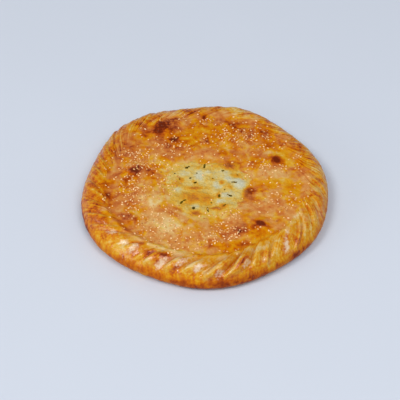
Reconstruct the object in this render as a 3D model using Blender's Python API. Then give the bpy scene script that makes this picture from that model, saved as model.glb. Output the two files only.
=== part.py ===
"""A round stuffed flatbread, as a Blender model.

A dough case with a rope-pleated rim and a ragged opening in its top, sprinkled with sesame seeds,
round a cheese and herb filling that fills the case and shows through the opening.

Units are metres, +Z is up and the bread lies on z = 0. Angles are seen from above, from +X.
"""

import bisect
import math
import random

import bmesh
import bpy
from mathutils import Matrix, Vector, noise

MM = 0.001
FULL_TURN = 2 * math.pi

# The outline, at the widest line of the side. A wave is (count round the rim, size, angle of a crest).
OUTLINE_RADIUS = 150 * MM
OUTLINE_WAVES = (
    (1, 1.25 * MM, 141),
    (2, 1.1 * MM, 89),
    (3, 1.0 * MM, -14),
    (4, 0.4 * MM, 31),
    (5, 2.1 * MM, -9),
    (6, 1.3 * MM, 16),
    (7, 1.1 * MM, 21),
)

# The rim's cross-section, measured in from the outline. Shares run over the rim, from the crust at 0 to the
# foot at 1. The crown is higher at the front than at the back, and it and the rim's width waver.
CROWN_SHARE = 0.2
WIDEST_SHARE = 0.74
WIDEST_HEIGHT = 11 * MM
BASE_INSET = 12 * MM
CROWN_INSET = 24 * MM
CROWN_HEIGHT = 31.5 * MM
CROWN_TILT = 0.8 * MM
CROWN_UNEVENNESS = 0.8 * MM
RIM_WIDTH = 33 * MM
RIM_WAVER = 3 * MM
RIM_BUMPS = 14
CRUST_EDGE_HEIGHT = 29.8 * MM
GUTTER_DEPTH = 0.2 * MM
GUTTER_FROM = 0.6

# The top crust, its swell and its relief.
CRUST_SWELL = 0.5 * MM
SWELL_WIDTH = 34 * MM
LUMP_HEIGHT = 1.3 * MM
LUMP_LENGTH = 36 * MM
LUMP_FADE = 14 * MM

# Raised bubbles in the crust: (x, y, radius, height).
BLISTERS = (
    (-51 * MM, 98 * MM, 17 * MM, 3.2 * MM),
    (-32 * MM, 106 * MM, 11 * MM, 2.0 * MM),
    (87 * MM, 38 * MM, 8 * MM, 1.8 * MM),
    (-88 * MM, 21 * MM, 12 * MM, 1.6 * MM),
    (-89 * MM, -61 * MM, 12 * MM, 1.4 * MM),
    (65 * MM, -71 * MM, 10 * MM, 1.6 * MM),
    (37 * MM, -82 * MM, 12 * MM, 1.2 * MM),
    (69 * MM, 97 * MM, 11 * MM, 1.4 * MM),
    (39 * MM, 67 * MM, 20 * MM, 1.0 * MM),
    (-59 * MM, -29 * MM, 20 * MM, 1.0 * MM),
)

# The rope pleats, which run down and clockwise over the rim. Each rises from a pit beside the crust to a
# rounded lobe, with its crest near its clockwise edge. They are boldest at the front.
PLEATS = 40
LOBE_HEIGHT = 2.9 * MM
PIT_DEPTH = 3.6 * MM
PLEAT_STEP = 1.9 * MM
PLEAT_SWEEP = math.radians(23)
SWEEP_CURVE = 0.62
PLEAT_TURN = math.radians(-43)
PLEAT_JITTER = 0.8
PLEAT_SEED = 927
PLEAT_HEAD = 0.26
LATEST_HEAD = 0.1
PLEAT_FOOT = 0.56
PLEAT_FADE = 0.17
FOOT_CHANGE = 0.08
LOBE_START = 0.1
LOBE_GROWTH = 0.26
LOBE_AT_HEAD = 0.35
PIT_AT_FOOT = 0.5
PLEAT_LEAN = 0.62
LEAN_CHANGE = 0.14
PLEAT_FULLNESS = 2.4
PLEAT_TUCK = 0.14
PLEAT_UNEVENNESS = 0.5
PLEAT_WAVER = math.radians(4)
WAVER_STRETCH = 2.2
WAVER_ROUNDS = 4
STRONGEST_PLEATS_AT = math.radians(-85)
FAINTEST_PLEATS = 0.22
PLEAT_FOCUS = 2

# The soft ridge along the rim's inner edge, and the dimple below it in each pleat's head.
INNER_RIDGE = 0.7 * MM
RIDGE_RISE = 0.16
RIDGE_END = 0.24
RIDGE_FALL = 0.13
DIMPLE_DEPTH = 1.8 * MM
DIMPLE_AT = 0.23
DIMPLE_WIDTH = 0.07

# The ragged opening in the top crust, round its own middle.
VENT_CENTRE = Vector((2 * MM, -11 * MM))
VENT_RADIUS = 44.5 * MM
VENT_WAVES = (
    (2, 1.6 * MM, 6),
    (3, 3.0 * MM, 21),
    (4, 0.9 * MM, -31),
    (7, 0.8 * MM, 5),
    (11, 1.0 * MM, 17),
)
VENT_SAG = 1.4 * MM
VENT_SAG_WIDTH = 26 * MM
LIP_THICKNESS = 1.8 * MM

# The dough's thickness, and the gap that keeps the filling's solid clear of it.
CRUST_THICKNESS = 4.2 * MM
LIP_TAPER = 24 * MM
FLOOR_THICKNESS = 5 * MM
SIDE_THICKNESS = 23 * MM
FILLING_EDGE = 7 * MM
GAP = 0.4 * MM

# The filling that shows in the opening.
CURD_HEIGHT = 1.3 * MM
CURD_LENGTH = 13 * MM
FILLING_RISE = 1.7 * MM
FILLING_RISE_WIDTH = 9 * MM

# Sesame seeds, laid on a sunflower spiral over the crust.
SEEDS = 155
SEED_LENGTH = 3.4 * MM
SEED_WIDTH = 2.1 * MM
SEED_THICKNESS = 1.3 * MM
SEED_SINK = 0.1 * MM
SEED_SIDES = 5
SEED_RINGS = (0.2, 0.52, 0.84)
SEED_INNER_RADIUS = 50 * MM
SEED_OUTER_RADIUS = 119 * MM
SEED_VENT_MARGIN = 5 * MM
SEED_SHIFT = 2.5 * MM
SEED_SHUFFLE = 5
GOLDEN_ANGLE = math.pi * (3 - math.sqrt(5))

# Chopped herb flecks in the filling: (x, y, length, turn in degrees).
HERB_FLECKS = (
    (-22 * MM, 21 * MM, 5.5 * MM, 35),
    (-1 * MM, 24 * MM, 7.0 * MM, 75),
    (21 * MM, 17 * MM, 3.8 * MM, 110),
    (-10 * MM, 14 * MM, 3.2 * MM, 140),
    (-12 * MM, -2 * MM, 5.0 * MM, 30),
    (35 * MM, -3 * MM, 6.4 * MM, 20),
    (30 * MM, -25 * MM, 5.5 * MM, 160),
    (16 * MM, -26 * MM, 5.0 * MM, 80),
    (22 * MM, -42 * MM, 5.0 * MM, 15),
    (3 * MM, -49 * MM, 6.0 * MM, 105),
    (-14 * MM, -46 * MM, 5.4 * MM, 70),
    (-27 * MM, -36 * MM, 6.0 * MM, 60),
    (-18 * MM, 5 * MM, 3.0 * MM, 20),
    (9 * MM, 4 * MM, 3.0 * MM, 130),
)
HERB_WIDTH = 2.0 * MM
HERB_THICKNESS = 1.0 * MM
HERB_RAISE = 0.2 * MM
HERB_TAPER = 0.45

# How finely the solids are cut.
PLEAT_COLUMNS = (0, 0.13, 0.37, 0.63, 0.86)
CRUST_COLUMNS = 80
HIDDEN_COLUMNS = 48
CORE_COLUMNS = 24
RIM_ROWS = (0.0, 0.05, 0.11, 0.18, 0.27, 0.36, 0.45, 0.54, 0.64)
FOOT_ROWS = (0.76, 0.85, 0.93, 1.0)
CRUST_ROWS = (0.16, 0.33, 0.5, 0.66, 0.8, 0.92, 1.0)
ROOF_ROWS = (0.12, 0.3, 0.55, 0.8, 1.0)
SIDE_ROWS = (0.25, 0.5, 0.75)
CORE_ROW = 0.6
CURD_ROWS = (0.36, 0.62, 0.84, 0.95)
NUMERIC_STEP = 0.01


def smooth(value):
    """0 below 0, 1 above 1, and an even S between them."""
    value = max(0.0, min(1.0, value))
    return value * value * (3 - 2 * value)


def mix(start, end, share):
    return start + (end - start) * share


def waves(angle, table):
    return sum(size * math.cos(count * (angle - math.radians(crest))) for count, size, crest in table)


def around(radius, angle):
    return Vector((radius * math.cos(angle), radius * math.sin(angle)))


def outline_radius(angle):
    return OUTLINE_RADIUS + waves(angle, OUTLINE_WAVES)


def vent_radius(angle):
    return VENT_RADIUS + waves(angle, VENT_WAVES)


def vent_distance(point):
    """How far a point in plan lies outside the opening's edge; negative inside it."""
    offset = point - VENT_CENTRE
    return offset.length - vent_radius(math.atan2(offset.y, offset.x))


def outline_inset(point):
    """How far a point in plan lies in from the outline."""
    return outline_radius(math.atan2(point.y, point.x)) - point.length


# The pleats


def pleat_bounds():
    """The angle at which each pleat starts, at the crust, uneven as folds made by hand are."""
    draw = random.Random(PLEAT_SEED)
    pitch = FULL_TURN / PLEATS
    shifts = [draw.uniform(-PLEAT_JITTER, PLEAT_JITTER) * pitch / 2 for _ in range(PLEATS)]
    return [PLEAT_TURN + k * pitch + shift for k, shift in enumerate(shifts)]


PLEAT_STARTS = pleat_bounds()
PLEAT_SIZES = [1 + random.Random(k).uniform(-PLEAT_UNEVENNESS, PLEAT_UNEVENNESS) for k in range(PLEATS)]
PLEAT_LEANS = [PLEAT_LEAN + random.Random(3 * k).uniform(-LEAN_CHANGE, LEAN_CHANGE) for k in range(PLEATS)]
PLEAT_FEET = [PLEAT_FOOT + random.Random(-k).uniform(-FOOT_CHANGE, FOOT_CHANGE) for k in range(PLEATS)]


def pleat_turn(angle, share):
    """How far the pleats have turned at a place on the rim: they sweep clockwise down it, and waver."""
    place = around(RIM_BUMPS / FULL_TURN, angle)
    wander = PLEAT_WAVER * noise.noise(Vector((place.x, place.y, WAVER_STRETCH * share)))
    return PLEAT_SWEEP * min(1.0, share / PLEAT_FOOT) ** SWEEP_CURVE + wander


def rim_angle(fold_angle, share):
    """Where round the rim the pleats' line of that starting angle has come to at a share of the way down."""
    angle = fold_angle
    for _ in range(WAVER_ROUNDS):
        angle = fold_angle - pleat_turn(angle, share)
    return angle


def pleat_at(fold_angle):
    """Which pleat holds an angle, its width, and how far across it the angle lies, from 0 to 1."""
    angle = (fold_angle - PLEAT_STARTS[0]) % FULL_TURN + PLEAT_STARTS[0]
    k = bisect.bisect_right(PLEAT_STARTS, angle) - 1
    end = PLEAT_STARTS[k + 1] if k + 1 < PLEATS else PLEAT_STARTS[0] + FULL_TURN
    width = end - PLEAT_STARTS[k]
    return k, width, (angle - PLEAT_STARTS[k]) / width


def pleat_boldness(fold_angle):
    """1 where the pleats are boldest, falling to 0 on the other side of the bread."""
    return ((1 + math.cos(fold_angle - STRONGEST_PLEATS_AT)) / 2) ** PLEAT_FOCUS


def pleat_strength(fold_angle):
    return mix(FAINTEST_PLEATS, 1.0, pleat_boldness(fold_angle))


def rim_ridge(fold_angle, share):
    """The edge where the folded rim stands up from the crust, from 0 to 1."""
    window = smooth(share / RIDGE_RISE) * smooth((RIDGE_END - share) / RIDGE_FALL)
    return window * pleat_boldness(fold_angle)


def pleat_relief(fold_angle, share):
    """How far the pleats stand out of the plain rim: dimpled lobes, pits between them, a step at each."""
    k, width, across = pleat_at(fold_angle)
    lobe = 1 - abs(2 * across ** PLEAT_LEANS[k] - 1) ** PLEAT_FULLNESS
    step = 0.5 - across if across > PLEAT_TUCK else mix(-0.5, 0.5 - PLEAT_TUCK, across / PLEAT_TUCK)
    foot = PLEAT_FEET[k] + PLEAT_FADE / 2 * (lobe - 0.5)
    head = LATEST_HEAD * (1 - pleat_boldness(fold_angle))
    window = smooth((share - head) / PLEAT_HEAD) * smooth((foot - share) / PLEAT_FADE)
    narrow = min(1.0, width * PLEATS / FULL_TURN)
    strength = window * PLEAT_SIZES[k] * narrow * pleat_strength(fold_angle)
    growth = smooth((share - LOBE_START) / LOBE_GROWTH)
    rise = LOBE_HEIGHT * lobe * mix(LOBE_AT_HEAD, 1.0, growth)
    fall = PIT_DEPTH * (1 - lobe) * mix(1.0, PIT_AT_FOOT, growth)
    fall += DIMPLE_DEPTH * lobe * math.exp(-(((share - DIMPLE_AT) / DIMPLE_WIDTH) ** 2))
    return strength * (rise - fall + PLEAT_STEP * step) + INNER_RIDGE * rim_ridge(fold_angle, share)


# The rim


def waver(angle, amount, seed):
    """An uneven change round the rim, the same at both ends of the turn."""
    place = around(RIM_BUMPS / FULL_TURN, angle)
    return amount * noise.noise(Vector((place.x, place.y, seed)))


def rim_width(angle):
    return RIM_WIDTH + waver(angle, RIM_WAVER, 3)


def crust_edge_height(angle):
    """The crust's height where it meets the rim, in a gutter that is deepest beside the boldest pleats."""
    return CRUST_EDGE_HEIGHT - GUTTER_DEPTH * (pleat_strength(angle) - GUTTER_FROM)


def rim_section(angle, share):
    """(inset, height) on the plain rim, from the crust at 0, over the crown, to the foot at 1."""
    crown = CROWN_HEIGHT - CROWN_TILT * math.sin(angle) + waver(angle, CROWN_UNEVENNESS, 8)
    if share < CROWN_SHARE:
        rise = share / CROWN_SHARE
        return mix(rim_width(angle), CROWN_INSET, rise), mix(crust_edge_height(angle), crown, smooth(rise))
    if share < WIDEST_SHARE:
        turn = math.pi / 2 * (share - CROWN_SHARE) / (WIDEST_SHARE - CROWN_SHARE)
        drop = crown - WIDEST_HEIGHT
        return CROWN_INSET * (1 - math.sin(turn)), WIDEST_HEIGHT + drop * math.cos(turn)
    turn = math.pi / 2 * (share - WIDEST_SHARE) / (1 - WIDEST_SHARE)
    return BASE_INSET * (1 - math.cos(turn)), WIDEST_HEIGHT * (1 - math.sin(turn))


def rim_point(fold_angle, share):
    """A point of the pleated rim. Its mesh columns follow the pleats, so they turn on their way down."""
    angle = rim_angle(fold_angle, share)
    inset, height = rim_section(angle, share)
    before = rim_section(angle, max(0.0, share - NUMERIC_STEP))
    after = rim_section(angle, min(1.0, share + NUMERIC_STEP))
    along = Vector((before[0] - after[0], after[1] - before[1])).normalized()
    out, up = -along.y, along.x
    relief = pleat_relief(fold_angle, share)
    plan = around(outline_radius(angle) - inset + out * relief, angle)
    lift = crust_relief(plan) * (1 - smooth(share / CROWN_SHARE))
    return Vector((plan.x, plan.y, height + up * relief + lift))


# The top crust


def crust_relief(point):
    """The crust's lumps and bubbles, which fade out at the rim."""
    fade = smooth((outline_inset(point) - RIM_WIDTH) / LUMP_FADE)
    lumps = LUMP_HEIGHT * noise.noise(Vector((point.x, point.y, 0)) / LUMP_LENGTH)
    bubbles = sum(
        height * smooth(1.2 - (point - Vector((x, y))).length / radius)
        for x, y, radius, height in BLISTERS
    )
    return fade * lumps + bubbles


def crust_height(point):
    """The height of the top crust's outer face."""
    angle = math.atan2(point.y, point.x)
    rise = smooth((outline_inset(point) - rim_width(angle)) / SWELL_WIDTH)
    level = mix(crust_edge_height(angle), CRUST_EDGE_HEIGHT + CRUST_SWELL, rise)
    sag = VENT_SAG * smooth(1 - vent_distance(point) / VENT_SAG_WIDTH)
    return level - sag + crust_relief(point)


def crust_plan(angle, share):
    """A point in plan between the rim's inner edge, 0, and the opening's edge, 1."""
    outer = around(outline_radius(angle) - rim_width(angle), angle)
    inner = VENT_CENTRE + around(vent_radius(angle), angle)
    return outer.lerp(inner, share)


def crust_point(angle, share):
    plan = crust_plan(angle, share)
    return Vector((plan.x, plan.y, crust_height(plan)))


# The hollow in the dough, which the filling fills


def hollow_roof(angle, share, gap=0.0):
    """A point of the crust's underside, from the opening's edge, 0, to the hollow's side, 1."""
    inner = VENT_CENTRE + around(vent_radius(angle), angle)
    outer = around(outline_radius(angle) - SIDE_THICKNESS - FILLING_EDGE, angle)
    plan = inner.lerp(outer, share)
    thick = mix(LIP_THICKNESS, CRUST_THICKNESS, smooth(vent_distance(plan) / LIP_TAPER))
    return Vector((plan.x, plan.y, crust_height(plan) - thick - gap))


def hollow_side(angle, share, gap=0.0):
    """A point of the hollow's rounded side, from its roof, 0, to its floor, 1."""
    top = hollow_roof(angle, 1.0).z
    turn = math.pi * share
    radius = outline_radius(angle) - SIDE_THICKNESS - FILLING_EDGE * (1 - math.sin(turn))
    plan = around(radius - gap, angle)
    middle = (top + FLOOR_THICKNESS) / 2
    half = (top - FLOOR_THICKNESS) / 2 - gap
    return Vector((plan.x, plan.y, middle + half * math.cos(turn)))


def hollow_floor(angle, share, gap=0.0):
    """A point of the hollow's floor, from its side, 0, to its middle, 1."""
    radius = outline_radius(angle) - SIDE_THICKNESS - FILLING_EDGE - gap
    plan = around(radius * (1 - share), angle)
    return Vector((plan.x, plan.y, FLOOR_THICKNESS + gap))


def filling_height(point):
    """The height of the filling where it shows: it rises from under the crust's lip, with curds in it."""
    depth = -vent_distance(point)
    rise = FILLING_RISE * smooth(depth / FILLING_RISE_WIDTH)
    curds = CURD_HEIGHT * noise.noise(Vector((point.x, point.y, CURD_LENGTH)) / CURD_LENGTH)
    curds *= smooth(depth / FILLING_RISE_WIDTH)
    return crust_height(point) - LIP_THICKNESS - GAP + rise + curds


def filling_point(angle, share):
    """A point of the filling's top, from its middle, 0, to the opening's edge, 1."""
    plan = VENT_CENTRE + around(vent_radius(angle) * share, angle)
    return Vector((plan.x, plan.y, filling_height(plan)))


# Meshes made of rings


def even_angles(count):
    return [PLEAT_STARTS[0] + k * FULL_TURN / count for k in range(count)]


def fold_angles():
    """The columns of the rim: a few across each pleat, the first in its groove."""
    ends = PLEAT_STARTS[1:] + [PLEAT_STARTS[0] + FULL_TURN]
    return [mix(start, end, share) for start, end in zip(PLEAT_STARTS, ends) for share in PLEAT_COLUMNS]


def add_ring(mesh, angles, place, share, **more):
    """One closed ring of vertices, as (angle, vertex) pairs."""
    return [(angle, mesh.verts.new(place(angle, share, **more))) for angle in angles]


def join_rings(mesh, outer, inner):
    """Triangles between two rings, which may differ in their number of vertices."""
    i = j = 0
    while i < len(outer) or j < len(inner):
        next_outer = outer[i + 1][0] if i + 1 < len(outer) else outer[0][0] + FULL_TURN
        next_inner = inner[j + 1][0] if j + 1 < len(inner) else inner[0][0] + FULL_TURN
        here, there = outer[i % len(outer)][1], inner[j % len(inner)][1]
        if j >= len(inner) or (i < len(outer) and next_outer <= next_inner):
            mesh.faces.new((here, outer[(i + 1) % len(outer)][1], there))
            i += 1
        else:
            mesh.faces.new((here, inner[(j + 1) % len(inner)][1], there))
            j += 1


def cap_ring(mesh, ring, point):
    middle = mesh.verts.new(point)
    for (_, here), (_, beyond) in zip(ring, ring[1:] + ring[:1]):
        mesh.faces.new((here, beyond, middle))


def join_all(mesh, rings, first_cap, last_cap):
    for outer, inner in zip(rings, rings[1:]):
        join_rings(mesh, outer, inner)
    cap_ring(mesh, rings[0], first_cap)
    cap_ring(mesh, rings[-1], last_cap)


def finish_mesh(mesh, name):
    bmesh.ops.recalc_face_normals(mesh, faces=mesh.faces[:])
    data = bpy.data.meshes.new(name)
    mesh.to_mesh(data)
    mesh.free()
    return data


# The pieces


def hollow_rings(mesh, gap=0.0):
    """The rings of the hollow, from the crust's lip out to its side and in over its floor."""
    lip, hidden, core = even_angles(CRUST_COLUMNS), even_angles(HIDDEN_COLUMNS), even_angles(CORE_COLUMNS)
    top = [add_ring(mesh, lip, hollow_roof, 0.0, gap=gap)]
    roof = [add_ring(mesh, hidden, hollow_roof, row, gap=gap) for row in ROOF_ROWS]
    side = [add_ring(mesh, hidden, hollow_side, row, gap=gap) for row in SIDE_ROWS]
    floor = [
        add_ring(mesh, hidden, hollow_floor, 0.0, gap=gap),
        add_ring(mesh, core, hollow_floor, CORE_ROW, gap=gap),
    ]
    return top + roof + side + floor


def dough_rings(mesh):
    """The dough's rings: up the foot and rim, over the crust to its lip, and back round the hollow."""
    foot = [add_ring(mesh, even_angles(CRUST_COLUMNS), rim_point, row) for row in reversed(FOOT_ROWS)]
    rim = [add_ring(mesh, fold_angles(), rim_point, row) for row in reversed(RIM_ROWS)]
    crust = [add_ring(mesh, even_angles(CRUST_COLUMNS), crust_point, row) for row in CRUST_ROWS]
    return foot + rim + crust + hollow_rings(mesh)


def filling_rings(mesh):
    """The filling's rings: out over the part that shows, and round inside the dough."""
    curds = [add_ring(mesh, even_angles(HIDDEN_COLUMNS), filling_point, row) for row in CURD_ROWS]
    return curds + hollow_rings(mesh, GAP)


def seed_mesh():
    """A sesame seed lying along X: a flat drop, blunt at one end and pointed at the other."""
    mesh = bmesh.new()
    rings = []
    for along in SEED_RINGS:
        girth = math.sin(math.pi * along**0.8) ** 0.7 / 2
        corners = [
            Vector((
                SEED_LENGTH * (along - 0.5),
                SEED_WIDTH * girth * math.cos(FULL_TURN * k / SEED_SIDES),
                SEED_THICKNESS * girth * math.sin(FULL_TURN * k / SEED_SIDES),
            ))
            for k in range(SEED_SIDES)
        ]
        rings.append([(k, mesh.verts.new(corner)) for k, corner in enumerate(corners)])
    for start, end in zip(rings, rings[1:]):
        for k in range(SEED_SIDES):
            beyond = (k + 1) % SEED_SIDES
            mesh.faces.new((start[k][1], start[beyond][1], end[beyond][1], end[k][1]))
    cap_ring(mesh, rings[0], (-SEED_LENGTH / 2, 0, 0))
    cap_ring(mesh, rings[-1], (SEED_LENGTH / 2, 0, 0))
    return finish_mesh(mesh, "sesame_seed")


def herb_mesh():
    """A chopped herb leaf lying along X, one unit long: a thin lozenge, wider at its middle."""
    mesh = bmesh.new()
    bmesh.ops.create_cube(mesh, size=1.0)
    bmesh.ops.subdivide_edges(
        mesh,
        edges=[edge for edge in mesh.edges if abs(edge.verts[0].co.x - edge.verts[1].co.x) > 0.5],
        cuts=1,
    )
    for vertex in mesh.verts:
        taper = mix(1.0, HERB_TAPER, abs(2 * vertex.co.x))
        vertex.co.y *= HERB_WIDTH * taper
        vertex.co.z *= HERB_THICKNESS * taper
    return finish_mesh(mesh, "herb_fleck")


def surface_frame(body, point, turn):
    """The place on a body's top above a point in plan, with X along the surface and Z out of it."""
    _, place, normal, _ = body.ray_cast((point.x, point.y, 2 * CROWN_HEIGHT), (0, 0, -1))
    along = Vector((math.cos(turn), math.sin(turn), 0))
    along = (along - normal * along.dot(normal)).normalized()
    return Matrix.Translation(place) @ Matrix((along, normal.cross(along), normal)).transposed().to_4x4()


def seed_places(crust):
    """The seeds' places, spread evenly on a spiral over the crust and clear of the opening and the rim."""
    draw = random.Random(SEED_SHUFFLE)
    span = SEED_OUTER_RADIUS**2 - SEED_INNER_RADIUS**2
    for k in range(SEEDS):
        radius = math.sqrt(SEED_INNER_RADIUS**2 + span * (k + 0.5) / SEEDS)
        point = around(radius, k * GOLDEN_ANGLE)
        point += Vector((draw.uniform(-SEED_SHIFT, SEED_SHIFT), draw.uniform(-SEED_SHIFT, SEED_SHIFT)))
        turn = draw.uniform(0, FULL_TURN)
        if vent_distance(point) > SEED_VENT_MARGIN and outline_inset(point) > RIM_WIDTH + RIM_WAVER:
            yield surface_frame(crust, point, turn) @ Matrix.Translation((0, 0, -SEED_SINK))


def herb_places(filling):
    for x, y, length, turn in HERB_FLECKS:
        place = surface_frame(filling, Vector((x, y)), math.radians(turn))
        yield place @ Matrix.Translation((0, 0, HERB_RAISE)) @ Matrix.Diagonal((length, 1, 1, 1))


def fuse_copies(body, copy_data, places):
    """Joins copies of a small mesh to a body with one Boolean union, and removes the copies."""
    crumbs = bpy.data.collections.new(copy_data.name)
    bpy.context.scene.collection.children.link(crumbs)
    for place in places:
        copy = bpy.data.objects.new(copy_data.name, copy_data.copy())
        copy.data.transform(place)
        crumbs.objects.link(copy)
    union = body.modifiers.new("fused", "BOOLEAN")
    union.operation = "UNION"
    union.operand_type = "COLLECTION"
    union.collection = crumbs
    union.solver = "MANIFOLD"
    fused = bpy.data.meshes.new_from_object(body.evaluated_get(bpy.context.evaluated_depsgraph_get()))
    body.modifiers.remove(union)
    body.data = fused
    for copy in list(crumbs.objects):
        bpy.data.objects.remove(copy)
    bpy.data.collections.remove(crumbs)


def material(name, colour, roughness):
    made = bpy.data.materials.new(name)
    made.use_nodes = True
    shader = made.node_tree.nodes["Principled BSDF"]
    shader.inputs["Base Color"].default_value = (*colour, 1.0)
    shader.inputs["Roughness"].default_value = roughness
    shader.inputs["Metallic"].default_value = 0.0
    return made


def add_object(name, data, finish):
    piece = bpy.data.objects.new(name, data)
    bpy.context.scene.collection.objects.link(piece)
    piece.data.materials.append(finish)
    return piece


def shade(piece):
    piece.data.shade_smooth()
    piece.data.set_sharp_from_angle(angle=math.radians(50))


def make_dough_case():
    mesh = bmesh.new()
    join_all(mesh, dough_rings(mesh), (0, 0, 0), (0, 0, FLOOR_THICKNESS))
    finish = material("baked_dough", (0.62, 0.24, 0.035), 0.4)
    case = add_object("dough_case", finish_mesh(mesh, "dough_case"), finish)
    fuse_copies(case, seed_mesh(), seed_places(case))
    shade(case)


def make_cheese_filling():
    mesh = bmesh.new()
    top = Vector((*VENT_CENTRE, filling_height(VENT_CENTRE)))
    join_all(mesh, filling_rings(mesh), top, (0, 0, FLOOR_THICKNESS + GAP))
    finish = material("cheese", (0.72, 0.55, 0.24), 0.5)
    filling = add_object("cheese_filling", finish_mesh(mesh, "cheese_filling"), finish)
    fuse_copies(filling, herb_mesh(), herb_places(filling))
    shade(filling)


def clear_scene():
    for piece in list(bpy.data.objects):
        bpy.data.objects.remove(piece)


clear_scene()
make_dough_case()
make_cheese_filling()
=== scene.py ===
"""A stuffed flatbread, dressed: a glazed crust, melted cheese, sesame seeds and herbs, in a plain studio.

Lengths are metres, in the frame of the CAD model, +Z up. Angles are seen from above, from +X.
"""

import bisect
import math
import random

import bmesh
import bpy
import numpy as np
from mathutils import Matrix, Vector, noise
from mathutils.bvhtree import BVHTree


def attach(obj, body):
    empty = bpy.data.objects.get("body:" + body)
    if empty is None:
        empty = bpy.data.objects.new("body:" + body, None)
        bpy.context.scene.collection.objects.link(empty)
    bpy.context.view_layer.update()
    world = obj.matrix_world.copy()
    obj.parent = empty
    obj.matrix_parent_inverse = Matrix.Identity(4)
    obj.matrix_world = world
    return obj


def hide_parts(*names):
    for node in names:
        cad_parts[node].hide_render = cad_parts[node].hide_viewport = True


MM = 0.001
FULL_TURN = 2 * math.pi

# The bread's form: the same driving sizes as the solids have. Waves in a line round it are (how many,
# their height in mm, a crest in degrees).
OUTLINE_RADIUS = 150 * MM
OUTLINE_WAVES = (
    (1, 1.25, 141),
    (2, 1.1, 89),
    (3, 1.0, -14),
    (4, 0.4, 31),
    (5, 2.1, -9),
    (6, 1.3, 16),
    (7, 1.1, 21),
)
CROWN_SHARE = 0.2
WIDEST_SHARE = 0.74
WIDEST_HEIGHT = 11 * MM
BASE_INSET = 12 * MM
CROWN_INSET = 24 * MM
CROWN_HEIGHT = 31.5 * MM
CROWN_TILT = 0.8 * MM
CROWN_UNEVENNESS = 0.8 * MM
RIM_WIDTH = 33 * MM
RIM_WAVER = 3 * MM
RIM_BUMPS = 14
CRUST_EDGE_HEIGHT = 29.8 * MM
GUTTER_DEPTH = 0.2 * MM
GUTTER_FROM = 0.6
CRUST_SWELL = 0.5 * MM
SWELL_WIDTH = 34 * MM
LUMP_HEIGHT = 1.3 * MM
LUMP_LENGTH = 36 * MM
LUMP_FADE = 14 * MM

# Raised blisters: (x, y, radius, height), all in mm.
BLISTERS = (
    (-51, 98, 17, 3.2),
    (-32, 106, 11, 2.0),
    (87, 38, 8, 1.8),
    (-88, 21, 12, 1.6),
    (-89, -61, 12, 1.4),
    (65, -71, 10, 1.6),
    (37, -82, 12, 1.2),
    (69, 97, 11, 1.4),
    (39, 67, 20, 1.0),
    (-59, -29, 20, 1.0),
)
BLISTER_REACH = 1.2

# The pleats. A share says how far down the rim a place lies: from the crust, 0, over the crown, to the
# foot, 1.
PLEATS = 40
LOBE_HEIGHT = 2.9 * MM
PIT_DEPTH = 3.6 * MM
PLEAT_STEP = 1.9 * MM
PLEAT_SWEEP = math.radians(23)
SWEEP_CURVE = 0.62
PLEAT_TURN = math.radians(-43)
PLEAT_JITTER = 0.8
PLEAT_SEED = 927
PLEAT_HEAD = 0.26
LATEST_HEAD = 0.1
PLEAT_FOOT = 0.56
PLEAT_FADE = 0.17
FOOT_CHANGE = 0.08
LOBE_START = 0.1
LOBE_GROWTH = 0.26
LOBE_AT_HEAD = 0.35
PIT_AT_FOOT = 0.5
PLEAT_LEAN = 0.62
LEAN_CHANGE = 0.14
PLEAT_FULLNESS = 2.4
PLEAT_TUCK = 0.14
CREST_AT = 0.14
CREST_WIDTH = 0.17
CREST_RISE = 0.25
INNER_RIDGE = 0.7 * MM
RIDGE_RISE = 0.16
RIDGE_END = 0.24
RIDGE_FALL = 0.13
DIMPLE_DEPTH = 1.8 * MM
DIMPLE_AT = 0.23
DIMPLE_WIDTH = 0.07
# How much of the pits' painted shade a dimple gets.
DIMPLE_MARK = 0.7
HOLLOW_FALL = 1.3
# Where the paler dough and painted highlight along the rim's inner edge begin and end.
GLOW_FROM = 0.1
GLOW_RISE = 0.1
GLOW_END = 0.33
GLOW_FALL = 0.2
PLEAT_UNEVENNESS = 0.5
PLEAT_WAVER = math.radians(4)
WAVER_STRETCH = 2.2
STRONGEST_PLEATS_AT = math.radians(-85)
FAINTEST_PLEATS = 0.22
PLEAT_FOCUS = 2

# The opening, and the hollow for the filling.
VENT_CENTRE = Vector((2 * MM, -11 * MM))
VENT_RADIUS = 44.5 * MM
VENT_WAVES = (
    (2, 1.6, 6),
    (3, 3.0, 21),
    (4, 0.9, -31),
    (7, 0.8, 5),
    (11, 1.0, 17),
)
VENT_SAG = 1.4 * MM
VENT_SAG_WIDTH = 26 * MM
FLOOR_THICKNESS = 5 * MM
SIDE_THICKNESS = 23 * MM
FILLING_EDGE = 7 * MM

# The lip of dough round the opening, and the filling under and in it.
LIP_THICKNESS = 1.8 * MM
LIP_SLOPE = 3 * MM
CRUST_THICKNESS = 4.2 * MM
LIP_TAPER = 24 * MM
LIP_ROUNDING = 0.6 * MM
FILLING_DROP = 0.9 * MM
FILLING_OVERLAP = 7.5 * MM
FILLING_RISE = 0.35 * MM
FILLING_TUCK = 9 * MM
EMERGING_WIDTH = 7 * MM
EDGE_RAGGEDNESS = 2.5 * MM
RAG_LENGTH = 7 * MM
CURD_HEIGHT = 1.5 * MM
CURD_LENGTH = 11 * MM
CURD_FRACTAL = (0.8, 2.2, 3)
CURDS_UNDER_CRUST = 0.3

# Fine relief: creases stretched along the pleats, in layers of (size, fineness round the rim, fineness
# down it, seed), and small bubbles and pores over all the dough.
CREASE_HEIGHT = 0.5 * MM
CREASES_ROUND = 420
CREASE_STRETCH = 2.2
CREASES_WITH_PLEATS = 1.5
CREASE_LAYERS = ((1, 1, 1, 3.7), (0.5, 2.1, 2, 9.1))
CREASE_RISE = 0.1
CREASE_END = 0.9
CREASE_FALL = 0.3
BUBBLE_HEIGHT = 0.5 * MM
BUBBLE_LENGTH = 9 * MM
PORE_SIZE = 0.5
PORE_FINENESS = 2.3
PORELESS_FOOT = 0.1

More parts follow.
